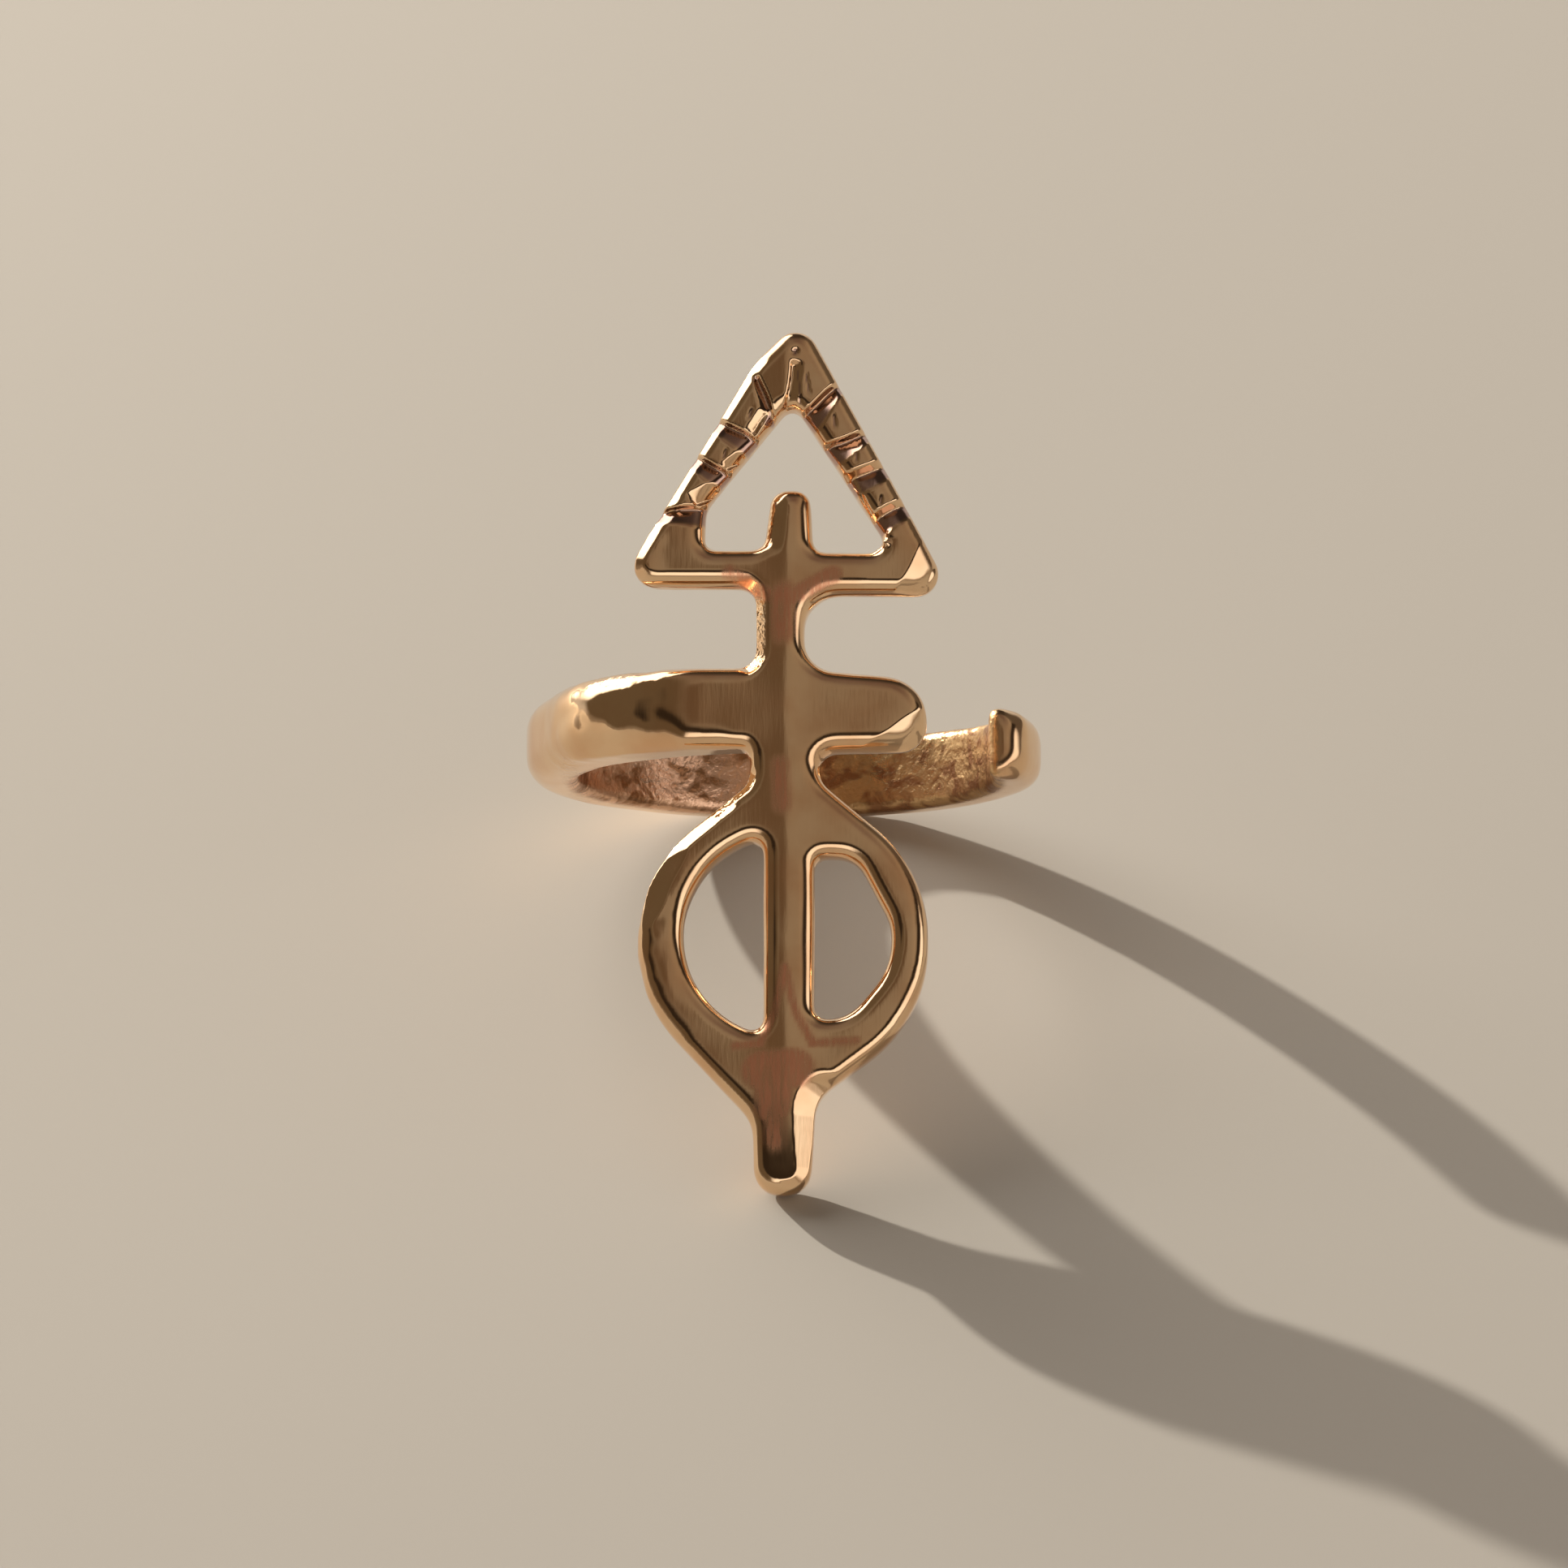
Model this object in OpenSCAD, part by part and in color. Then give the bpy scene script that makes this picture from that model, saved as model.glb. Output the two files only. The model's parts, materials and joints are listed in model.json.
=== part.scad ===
// Open cast ring with a long pierced face: a notched triangle, a crossbar that runs
// round into the band, a round loop with a middle bar, and a tail.
// The ring is drawn as worn, with x across the finger, y along it towards the
// triangle and z out of the face, and is then leaned onto its tail and its band.

/* [Band] */
// Radius of the finger hole
finger_r = 8.65; // [8:0.05:9.5]
// Thickness of the band's wall
wall = 2.2; // [1.8:0.1:2.6]
// Width of the band along the finger
band_w = 3.3; // [2.8:0.1:4]
// How far the band's middle lies to the left of the face's middle
band_left = 0.3; // [0:0.1:1]
// Depth of the flat on the band opposite the face, on which the ring stands
worn_flat = 0.65; // [0.4:0.05:0.9]
// Angle of the open end above the middle of the right-hand side
end_angle = 14; // [5:1:35]
// Radius of the shoulder where the crossbar turns down into the band
shoulder_r = 6.5; // [5:0.5:8]

/* [Face] */
// Thickness of the face from front to back
face_t = 2; // [1.6:0.1:2.4]
// Radius of every cast edge
edge_r = 0.5; // [0.3:0.05:0.55]

/* [Triangle] */
// Height of the triangle's sharp tip above the crossbar, before rounding
tip_y = 16.1; // [15.5:0.1:16.6]
// Radius of the triangle's outer corners
corner_r = 0.9; // [0.5:0.1:1.2]
// Depth of the notches filed across its sides
notch_depth = 0.45; // [0.2:0.05:0.7]
// Width of a notch at the face
notch_w = 1.1; // [0.6:0.1:1.4]
// Depth of the groove below the tip
groove_depth = 0.3; // [0.1:0.05:0.5]

/* [Loop] */
// Outer radius of the round loop
loop_r = 5.85; // [5.5:0.05:5.9]
// Distance from the crossbar down to the loop's middle
loop_drop = 9.5; // [9:0.1:10]
// Distance from the crossbar down to the tail's tip
tail_drop = 19.75; // [19:0.05:21]

/* [Hidden] */
gold = "#9a7a55";

// Each outline is a table with columns x, y and corner radius, a row for each corner
// before rounding, and runs anticlockwise
tail_r = 1.05;
loop_x = -0.06;
loop_left = loop_x - loop_r;
loop_right = loop_x + loop_r;
curve_r = loop_r - 0.13;                        // leaves its arcs a little straight between them
crossbar_tip = 5.75;
neck_left = -1.15;
neck_right = 0.8;
waist = 1.4;
outside = [
    [ 1.05, -tail_drop, tail_r],                // tail's end
    [ 1.25, -15.9, 1.5],                        // flare, right
    [loop_right, -loop_drop - 3.1, curve_r],
    [loop_right, -loop_drop + 2.8, curve_r],
    [waist, -3.0, 0.9],
    [waist, -1.8, 0.7],
    [crossbar_tip, -1.75, 1.35],                // crossbar's free end
    [crossbar_tip,  1.15, 1.35],
    [neck_right, 1.6, 0.9],
    [neck_right, 4.7, 1.0],
    [ 6.86, 4.65, corner_r],                    // triangle, right
    [ 0.70, tip_y, corner_r],
    [-1.3, tip_y - 1.95, 4.0],                  // bend of its left side
    [-6.80, 5.05, corner_r],                    // triangle, left
    [neck_left, 5.0, 0.7],
    [neck_left, 1.7, 0.7],
    [-3.6, 1.5, 1.2],                           // crossbar, inside the band's shoulder
    [-3.6, -1.5, 1.2],
    [-waist, -1.5, 0.6],
    [-waist, -3.05, 0.9],
    [loop_left, -loop_drop + 2.8, curve_r],
    [loop_left, -loop_drop - 2.4, curve_r],
    [-1.3, -16.8, 1.5],                         // flare, left
    [-1.25, -tail_drop, tail_r]
];
triangle_opening = [
    [-3.25, 6.50, 0.4],
    [-0.72, 6.50, 0.5],                         // peg, left
    [-0.30, 8.95, 0.62],
    [ 1.03, 8.95, 0.62],
    [ 1.15, 6.38, 0.5],                         // peg, right
    [ 4.40, 6.35, 0.5],
    [ 0.33, tip_y - 3.45, 0.45],
    [-3.20, 8.25, 0.8]                          // foot of its left side
];
left_window = [
    [-0.85, -5.20, 0.45],
    [-4.08, -6.70, 4.0],
    [-4.08, -11.9, 4.0],
    [-0.85, -13.35, 0.45]
];
right_window = [
    [1.21, -12.65, 0.45],
    [2.55, -12.65, 1.7],
    [4.30, -10.55, 2.9],
    [4.30, -8.85, 2.1],
    [2.87, -6.15, 1.2],
    [1.21, -6.1, 0.45]
];
large_r = 2;                                    // corners above this radius are drawn finely
large_step = 7.5;                               // degrees turned between points of a large corner
small_step = 22.5;                              // and of a small one
// Columns of the notches: y and turn in degrees on the left side, then on the right
notches = [
    [12.75, -26, 12.70,  8],
    [11.20,   3, 11.10, -3],
    [ 9.50,  -4,  9.95,  7],
    [ 8.00,  40,  8.30,  8]
];
notch_length = 3;                               // across the side and clear of its edges
notch_steep = 0.3;                              // share of a notch that its steep side takes
groove = [[0.45, 14.7], [0.2, 12.2]];           // top and bottom of the groove below the tip
groove_w = 0.9;

cut_allowance = 0.35;                           // metal left in the finger hole for the last cut
shoulder_in = 0.9;                              // shoulder's leftmost point inside the band's
outer_r = finger_r + wall;
finger_z = -outer_r;                            // the hole's middle, below the face
far = 30;                                       // longer than any cut
fine = 60;                                      // steps of a large circle
ball_steps = 8;                                 // steps of the edge rounding
ball_r = edge_r / cos(180 / ball_steps);        // so that its flats lie at edge_r

// Middles of the edge rounding where the ring touches what it rests on, as [y, z]
tail_foot = [-tail_drop + edge_r, -face_t + edge_r];
band_foot = [-band_w / 2 + edge_r, -2 * outer_r + worn_flat + edge_r];
lean = atan2(tail_foot[1] - band_foot[1], band_foot[0] - tail_foot[0]);

function leaned(p) = [p[0] * cos(lean) - p[1] * sin(lean), p[0] * sin(lean) + p[1] * cos(lean)];

lift = edge_r - leaned(tail_foot)[1];
front_y = leaned([tail_foot[0], -edge_r])[0] - edge_r;
back_y = leaned([-band_foot[0], band_foot[1]])[0] + edge_r;
rest_place = [band_left, -(front_y + back_y) / 2, lift];

// Points of a rounded corner, moved inwards by inset: before, corner and after are
// rows of an outline
function corner_points(before, corner, after, inset) =
    let (
        p = [corner[0], corner[1]],
        r = corner[2],
        back = [before[0], before[1]] - p,
        on = [after[0], after[1]] - p,
        u = back / norm(back),
        v = on / norm(on),
        half = acos(u * v) / 2,
        middle = p + (u + v) / norm(u + v) * r / sin(half),
        turn = (cross(u, v) < 0 ? 1 : -1) * (180 - 2 * half),
        start = (p + u * r / tan(half) - middle) * (1 - sign(turn) * inset / r),
        steps = ceil(abs(turn) / (r > large_r ? large_step : small_step))
    )
    [for (i = [0:steps]) let (a = turn * i / steps)
        middle + [start[0] * cos(a) - start[1] * sin(a), start[0] * sin(a) + start[1] * cos(a)]];

function rounded(rows, inset) =
    let (n = len(rows))
    [for (i = [0:n - 1])
        each corner_points(rows[(i + n - 1) % n], rows[i], rows[(i + 1) % n], inset)];

// The whole pierced outline of the face, moved into the metal by inset
module face_outline(inset) {
    difference() {
        polygon(rounded(outside, inset));
        polygon(rounded(triangle_opening, -inset));
        polygon(rounded(left_window, -inset));
        polygon(rounded(right_window, -inset));
    }
}

// The band seen along the finger, from inside the crossbar round to the open end
module band_profile() {
    difference() {
        intersection() {
            hull() {
                translate([-band_left, finger_z]) circle(outer_r, $fn = fine);
                translate([-outer_r + shoulder_in + shoulder_r, -shoulder_r])
                    circle(shoulder_r, $fn = fine);
            }
            translate([-far, -2 * outer_r + worn_flat]) square([2 * far, far]);
        }
        translate([-band_left, finger_z]) {
            circle(finger_r - cut_allowance, $fn = fine);
            polygon([[0, 0], [far * cos(end_angle), far * sin(end_angle)], [far, far], [0, far]]);
        }
    }
}

// Face and band without their edge rounding, which the ball then adds
module cast_body() {
    minkowski() {
        union() {
            translate([0, 0, -face_t + edge_r])
                linear_extrude(face_t - 2 * edge_r) face_outline(edge_r);
            translate([0, band_w / 2 - edge_r, 0]) rotate([90, 0, 0])
                linear_extrude(band_w - 2 * edge_r) offset(delta = -edge_r) band_profile();
        }
        sphere(ball_r, $fn = ball_steps);
    }
}

module finger_hole() {
    translate([-band_left, far / 2, finger_z]) rotate([90, 0, 0])
        cylinder(h = far, r = finger_r, $fn = fine);
}

// A V-shaped cut into the face, running along x through the origin
module face_cut(length, width, depth, steep) {
    rotate([90, 0, 90]) linear_extrude(length, center = true)
        polygon([[width * steep, 0], [-width * (1 - steep), 0], [0, -depth]]);
}

// Middle of the triangle's side at its tip, its left foot and its right foot
side_middles = [[0.35, tip_y - 1.75], [-5.35, 5.8], [5.8, 5.5]];

// Notches across both sloping sides of the triangle, steep towards the tip
module side_notches() {
    tip = side_middles[0];
    for (side = [1, 2], n = notches) {
        run = side_middles[side] - tip;
        y = n[2 * side - 2];
        at = tip + run * (tip[1] - y) / -run[1];
        translate([at[0], at[1], 0])
            rotate([0, 0, atan2(run[1], run[0]) + 90 + n[2 * side - 1]])
                face_cut(notch_length, notch_w, notch_depth, notch_steep);
    }
}

// Groove from just below the tip down to the opening
module tip_groove() {
    run = groove[1] - groove[0];
    middle = (groove[0] + groove[1]) / 2;
    translate([middle[0], middle[1], 0]) rotate([0, 0, atan2(run[1], run[0])])
        face_cut(norm(run), groove_w, groove_depth, 0.5);
}

module ring() {
    translate(rest_place) rotate([lean, 0, 0])
        difference() {
            color(gold) cast_body();
            finger_hole();
            side_notches();
            tip_groove();
        }
}

ring();
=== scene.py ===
import json
import math

import bmesh
import bpy
import numpy as np
from mathutils import Matrix, Vector, kdtree


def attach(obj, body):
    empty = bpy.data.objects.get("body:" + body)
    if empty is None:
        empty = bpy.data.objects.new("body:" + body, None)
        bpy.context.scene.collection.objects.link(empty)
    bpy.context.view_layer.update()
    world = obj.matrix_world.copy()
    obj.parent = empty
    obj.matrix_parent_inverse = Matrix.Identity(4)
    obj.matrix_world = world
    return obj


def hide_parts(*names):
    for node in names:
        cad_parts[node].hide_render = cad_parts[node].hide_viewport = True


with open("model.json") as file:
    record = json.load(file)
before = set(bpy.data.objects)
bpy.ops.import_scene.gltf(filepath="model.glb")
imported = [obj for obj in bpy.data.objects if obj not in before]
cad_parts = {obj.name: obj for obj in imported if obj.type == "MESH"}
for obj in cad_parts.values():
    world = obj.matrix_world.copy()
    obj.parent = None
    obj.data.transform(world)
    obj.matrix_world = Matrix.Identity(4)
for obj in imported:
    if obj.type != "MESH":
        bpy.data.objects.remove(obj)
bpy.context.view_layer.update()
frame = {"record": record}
print("frame loaded")

# The ring is modelled in millimetres as it is worn: x across the finger, y along it towards the
# triangle, z out of the face. At the end it is leaned onto its tail and its band, in metres.
finger = frame["record"]["mounts"][0]
fingerAxis = Vector(finger["axis"])
fingerCentre = Vector(finger["pos_m"])
lean = math.atan2(fingerAxis.z, fingerAxis.y)
fingerR = finger["dims"]["r_mm"]
bandWidth = finger["dims"]["length_mm"]
metresPerMm = 0.001


def hexColour(text):
    parts = [int(text[i:i + 2], 16) / 255 for i in (1, 3, 5)]
    linear = [c / 12.92 if c <= 0.04045 else ((c + 0.055) / 1.055) ** 2.4 for c in parts]
    return (*linear, 1.0)


# Outline corners: x, y, radius, anticlockwise
tail = {"tip": -19.75, "radius": 1.05}
loop = {"middle": -9.5, "left": -5.91, "right": 5.79, "radius": 5.72}
outsideCorners = [
    (1.05, tail["tip"], tail["radius"]),
    (1.25, -15.9, 1.5),
    (loop["right"], loop["middle"] - 3.1, loop["radius"]),
    (loop["right"], loop["middle"] + 2.8, loop["radius"]),
    (1.4, -3.0, 0.9),
    (1.4, -1.8, 0.7),
    (5.75, -1.75, 1.1),                 # crossbar's free end
    (5.75, 1.12, 1.75),
    (0.8, 1.6, 1.3),
    (0.8, 4.7, 1.4),
    (6.86, 4.65, 0.9),                  # triangle, right foot
    (0.70, 16.1, 0.9),                  # its tip
    (-1.3, 14.15, 4.0),
    (-6.80, 5.05, 0.9),                 # its left foot
    (-1.15, 5.0, 0.7),
    (-1.15, 1.7, 0.7),
    (-3.6, 1.5, 1.2),                   # crossbar, inside the shoulder
    (-3.6, -1.5, 1.2),
    (-1.4, -1.5, 0.6),
    (-1.4, -3.05, 0.9),
    (loop["left"], loop["middle"] + 2.8, loop["radius"]),
    (loop["left"], loop["middle"] - 2.4, loop["radius"]),
    (-1.3, -16.8, 1.5),
    (-1.25, tail["tip"], tail["radius"]),
]
triangleOpening = [
    (-3.25, 6.50, 0.4), (-0.86, 6.50, 0.5), (-0.52, 8.95, 0.62), (1.03, 8.95, 0.62),
    (1.15, 6.38, 0.5), (4.40, 6.35, 0.5), (0.33, 12.65, 0.45), (-3.20, 8.25, 0.8),
]
leftWindow = [(-0.85, -5.20, 0.45), (-4.08, -6.70, 4.0), (-4.08, -11.9, 4.0), (-0.85, -13.35, 0.45)]
rightWindow = [
    (1.21, -12.65, 0.45), (2.55, -12.65, 1.7), (4.30, -10.55, 2.9), (4.30, -8.85, 2.1),
    (2.87, -6.15, 1.2), (1.21, -6.1, 0.45),
]

casting = {
    "faceThickness": 2.0,
    "faceEdge": 0.5,                    # radius of the face's edges
    "edgeSteps": 5,
    "largeR": 2.0,                      # corners above this radius are drawn more finely
    "largeStep": 5, "smallStep": 12, "bandStep": 3,     # degrees turned between points
    "pegEdge": 0.8,                     # of the peg's left edge, which slopes
    "pegFoot": 6.7, "pegTop": 9.2,
    "pegReach": 1.5,                    # how far that edge reaches to the left
    "pegBlends": (0.3, 0.4),            # over which it fades, on its right and on its left
    "wall": 2.2,                        # of the band
    "bandMiddle": -0.3,
    "joinFrom": 1.6, "joinTo": 9.0,     # distances to the left where the crossbar's edges are the band's
    "joinHalf": 1.7,                    # half the crossbar's width there
    "innerEdge": 0.4,                   # the band's edges towards the finger
    "shoulderEdge": 0.5,                # its outer edges where they leave the crossbar
    "outerEdge": 1.05,                  # and where the band is a soft D
    "shoulder": (3.4, 7.2),             # distances to the left between which one turns into the other
    "shoulderR": 6.5,
    "shoulderIn": 0.9,
    "endAngle": 14,                     # of the band's open end, above its middle
    "endBelow": 60,                     # angle below which a point on the right belongs to that end
    "endOuter": 1.15, "endInner": 0.6,  # its corner radii
    "endTaper": 0.12, "endShift": -0.17,
    "taperAngles": (-60, 5),            # between which the band gets narrower towards its end
    "endThin": 0.32,                    # share of its wall that the end loses, from outside
    "thinAngles": (-14, 14),            # and between which it loses that
    "wornFlat": 0.65,                   # where the band stands
    "voxel": 0.14,
    "fuseSmooth": 0.5, "fuseSteps": 6,  # smoothing after the parts are fused
}
outerR = fingerR + casting["wall"]


def arcPoints(middle, radius, start, end, step, inward=False):
    # points of an arc, each with its outward normal
    steps = max(2, math.ceil(abs(end - start) / step))
    found = []
    for i in range(steps + 1):
        a = math.radians(start + (end - start) * i / steps)
        normal = Vector((math.cos(a), math.sin(a)))
        found.append((middle + normal * radius, -normal if inward else normal))
    return found


def roundedOutline(corners):
    found = []
    for i, row in enumerate(corners):
        before, corner, after = (Vector(corners[j % len(corners)][:2]) for j in (i - 1, i, i + 1))
        u, v = (before - corner).normalized(), (after - corner).normalized()
        half = u.angle(v) / 2
        middle = corner + (u + v).normalized() * row[2] / math.sin(half)
        convex = u.x * v.y - u.y * v.x < 0
        outward = -u.orthogonal() if (-u.orthogonal()).dot(v) < 0 else u.orthogonal()
        start = math.degrees(math.atan2(outward.y, outward.x))
        turn = math.degrees(math.pi - 2 * half) * (1 if convex else -1)
        step = casting["largeStep"] if row[2] > casting["largeR"] else casting["smallStep"]
        found += arcPoints(middle, row[2], start, start + turn, step, not convex)
    return found


def bandOutline():
    # seen along the finger: over the shoulder, round to the open end, and back inside
    middle = Vector((casting["bandMiddle"], -outerR))
    shoulder = Vector((casting["shoulderIn"] + casting["shoulderR"] - outerR, -casting["shoulderR"]))
    apart = middle - shoulder
    down = math.degrees(math.atan2(apart.y, apart.x))
    tangent = down + 360 - math.degrees(math.acos((casting["shoulderR"] - outerR) / apart.length))
    end, outer, inner = 360 + casting["endAngle"], casting["endOuter"], casting["endInner"]
    step, cornerStep = casting["bandStep"], casting["smallStep"]
    outerTurn = math.degrees(math.asin(outer / (outerR - outer)))
    innerTurn = math.degrees(math.asin(inner / (fingerR + inner)))

    def at(radius, angle):
        return middle + Vector((math.cos(math.radians(angle)), math.sin(math.radians(angle)))) * radius

    found = [(Vector((middle.x, 0)), Vector((0, 1)))]
    found += arcPoints(shoulder, casting["shoulderR"], 90, tangent, step)
    found += arcPoints(middle, outerR, tangent, end - outerTurn, step)
    found += arcPoints(at(outerR - outer, end - outerTurn), outer, end - outerTurn, end + 90, cornerStep)
    found += arcPoints(at(fingerR + inner, end - innerTurn), inner, end + 90, end + 180 - innerTurn,
                       cornerStep)
    found += arcPoints(middle, fingerR, end - innerTurn, 90, step, inward=True)
    return found


def ramp(values, low, high):
    t = np.clip((values - low) / (high - low), 0, 1)
    return t * t * (3 - 2 * t)


def faceEdge(point):
    # radius of the face's edge at a point of its outline
    onPeg = 0.0
    if casting["pegFoot"] < point.y < casting["pegTop"]:
        blendRight, blendLeft = casting["pegBlends"]
        onPeg = ramp(-point.x, 0.0, blendRight) * ramp(casting["pegReach"] + point.x, 0.0, blendLeft)
    return casting["faceEdge"] + (casting["pegEdge"] - casting["faceEdge"]) * onPeg


def bandEdge(point):
    # radius of the band's edge at a point of its outline
    fromFinger = math.hypot(point.x - casting["bandMiddle"], point.y + outerR) - fingerR
    outside = ramp(fromFinger, 0.25 * casting["wall"], 0.75 * casting["wall"])
    atTop = point.y > -outerR and point.x < 0
    domed = ramp(-point.x, *casting["shoulder"]) if atTop else 1.0
    outer = casting["shoulderEdge"] + (casting["outerEdge"] - casting["shoulderEdge"]) * domed
    return casting["innerEdge"] + (outer - casting["innerEdge"]) * outside


def placeInBand(point, depth):
    # the band gets narrower towards its open end, and stands on a flat
    middle = Vector((casting["bandMiddle"], -outerR))
    away = point - middle
    angle = math.degrees(math.atan2(away.y, away.x))
    narrow, thin = 0.0, 0.0
    if point.x >= 0 and angle <= casting["endBelow"]:
        narrow = float(ramp(angle, *casting["taperAngles"]))
        thin = float(ramp(angle, *casting["thinAngles"]))
    across = (bandWidth / 2 + depth) * (1 - casting["endTaper"] * narrow) + casting["endShift"] * narrow
    radius = fingerR + (away.length - fingerR) * (1 - casting["endThin"] * thin)
    point = middle + away.normalized() * radius
    return Vector((point.x, across, max(point.y, casting["wornFlat"] - 2 * outerR)))


def edgeProfile():
    # for an edge of radius 1: inset and depth of each ring, and 1 where depth is from the back
    angles = [math.pi / 2 * i / casting["edgeSteps"] for i in range(casting["edgeSteps"] + 1)]
    front = [(1 - math.sin(a), math.cos(a) - 1, 0) for a in angles]
    return front + [(inset, -depth, 1) for inset, depth, _ in reversed(front)]


def castPlate(name, outlines, edgeRadius, thickness, place):
    # each outline is extruded ring by ring round its edge, then the two flats are filled
    profile = edgeProfile()
    loops = []
    for number, outline in enumerate(outlines):
        side = 1 if number else -1
        bpy.ops.object.select_all(action="DESELECT")
        bpy.ops.mesh.primitive_circle_add(vertices=len(outline), radius=1)
        loops.append(bpy.context.object)
        bpy.ops.object.mode_set(mode="EDIT")
        mesh = bmesh.from_edit_mesh(loops[-1].data)
        order = mesh.verts.layers.int.new("order")
        mesh.verts.layers.int.new("ring")
        mesh.verts.ensure_lookup_table()
        for i, vertex in enumerate(mesh.verts):
            vertex[mesh.verts.layers.int["order"]] = i
        for ring, (inset, depth, back) in enumerate(profile):
            if ring:
                bpy.ops.mesh.extrude_edges_move(TRANSFORM_OT_translate={"value": (0, 0, -1)})
            mesh = bmesh.from_edit_mesh(loops[-1].data)
            order, rings = mesh.verts.layers.int["order"], mesh.verts.layers.int["ring"]
            for vertex in (v for v in mesh.verts if v.select):
                point, normal = outline[vertex[order]]
                radius = edgeRadius(point)
                vertex.co = place(point + normal * inset * radius * side, depth * radius - thickness * back)
                vertex[rings] = ring
            bmesh.update_edit_mesh(loops[-1].data)
        bpy.ops.object.mode_set(mode="OBJECT")
    for each in loops:
        each.select_set(True)
    bpy.context.view_layer.objects.active = loops[0]
    bpy.ops.object.join()
    plate = bpy.context.object
    plate.name = name
    bpy.ops.object.mode_set(mode="EDIT")
    bpy.ops.mesh.select_mode(type="EDGE")
    for last in (0, len(profile) - 1):
        bpy.ops.mesh.select_all(action="DESELECT")
        mesh = bmesh.from_edit_mesh(plate.data)
        rings = mesh.verts.layers.int["ring"]
        for edge in mesh.edges:
            edge.select_set(all(v[rings] == last for v in edge.verts))
        bmesh.update_edit_mesh(plate.data)
        bpy.ops.mesh.fill()
    bpy.ops.mesh.select_all(action="SELECT")
    bpy.ops.mesh.normals_make_consistent(inside=False)
    bpy.ops.object.mode_set(mode="OBJECT")
    return plate


def applyModifier(piece, kind, **settings):
    modifier = piece.modifiers.new(kind.title(), kind)
    for key, value in settings.items():
        setattr(modifier, key, value)
    bpy.context.view_layer.objects.active = piece
    bpy.ops.object.modifier_apply(modifier=modifier.name)


def coordinates(piece, kind="co"):
    found = np.empty(len(piece.data.vertices) * 3, np.float32)
    piece.data.vertices.foreach_get(kind, found)
    return found.reshape(-1, 3).astype(float)


def setCoordinates(piece, points):
    piece.data.vertices.foreach_set("co", points.astype(np.float32).ravel())
    piece.data.update()


def weightGroup(piece, name, weights, steps=20):
    group = piece.vertex_groups.new(name=name)
    levels = np.round(np.clip(weights, 0, 1) * steps).astype(int)
    for level in range(1, steps + 1):
        group.add(np.flatnonzero(levels == level).tolist(), level / steps, "REPLACE")


outlines = [roundedOutline(rows) for rows in (outsideCorners, triangleOpening, leftWindow, rightWindow)]
face = castPlate("face", outlines, faceEdge, casting["faceThickness"],
                 lambda point, depth: Vector((point.x, point.y, depth)))
band = castPlate("band", [bandOutline()], bandEdge, bandWidth, placeInBand)
print("face and band drawn")

# One casting: the two are fused, and polishing softens what the mould left sharp
bpy.ops.object.select_all(action="DESELECT")
face.select_set(True)
band.select_set(True)
bpy.context.view_layer.objects.active = face
bpy.ops.object.join()
ring = bpy.context.object
ring.name = "ring_cast"
for layer in ("order", "ring"):
    ring.data.attributes.remove(ring.data.attributes[layer])
applyModifier(ring, "REMESH", mode="VOXEL", voxel_size=casting["voxel"])
applyModifier(ring, "SMOOTH", factor=casting["fuseSmooth"], iterations=casting["fuseSteps"])
print("fused", len(ring.data.polygons), "faces")

polish = {
    "bevel": 0.045, "bevelWidth": 0.6,  # how the face falls away towards its edges, in mm
    "ridge": 0.045, "ridgeX": 0.1,      # height of the ridge down its middle
    "ridgeRound": 0.12, "ridgeReach": 0.8,
    "roof": 0.006,                      # slope of the whole face on both sides of the ridge
    "tailFrom": -15.0, "tailDrop": 0.011,   # the tail bends down a little
    "fullWithin": 0.7,                  # share of its width within which a soft edge is at its softest
    "fadeBack": (-1.4, -0.45),          # heights under the face between which the filing fades out
    "fadeBand": (8, 9.6),               # and distances to the left
    "smooth": 0.5, "smoothSteps": 4,
    "waveSize": 3.2, "wave": 0.05,      # slow waves of a hand-worked model
    "castSize": 0.5, "cast": 0.05,      # rough skin left inside the band
    "castReach": (0.15, 0.55),          # from the finger, over which it ends
    "dentSize": 1.4, "dent": 0.16,      # uneven shoulder
    "dentFrom": (4, 6), "dentTo": (9, 10.4),    # distances to the left where dents start and end
    "dentReach": (1, 2),                # from the finger
    "dentLowest": -6,
}
# Edges that are rounded further, in mm: start x, y, end x, y, depth, width, and over how far it
# runs out
softEdges = [
    (1.6, -1.75, 4.9, -1.75, 0.20, 0.85, 0.9),          # below the crossbar
    (-6.0, 4.95, -2.0, 4.95, 0.10, 0.55, 0.8),          # below the triangle
    (0.8, 2.4, 0.8, 4.0, 0.12, 0.45, 0.6),              # neck, right
    (4.9, -12.4, 5.79, -8.8, 0.08, 0.50, 1.2),          # loop, right
    (-5.9, -10.2, -4.8, -12.8, 0.15, 1.00, 0.9),        # loop, left
    (-3.4, -1.65, -5.0, -1.65, 0.16, 1.00, 1.0),        # below the shoulder
    (-6.2, -1.65, -9.0, -1.65, 0.45, 1.80, 1.2),
]


def distanceToRun(points, x0, y0, x1, y1):
    # seen from the front, to the straight run between two places
    run = np.array((x1 - x0, y1 - y0))
    away = points[:, :2] - (x0, y0)
    along = np.clip(away @ run / (run @ run), 0, 1)
    return np.hypot(*(away - along[:, None] * run).T)


def belowFace(points):
    # height above the face, or above the shoulder that the crossbar turns into on the left, as
    # far as just before that is upright
    start = outerR - casting["shoulderIn"] - casting["shoulderR"]
    reach = np.clip(-points[:, 0] - start, 0, 0.98 * casting["shoulderR"])
    reach *= np.abs(points[:, 1]) < bandWidth
    return points[:, 2] + casting["shoulderR"] - np.sqrt(casting["shoulderR"] ** 2 - reach ** 2)


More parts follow.
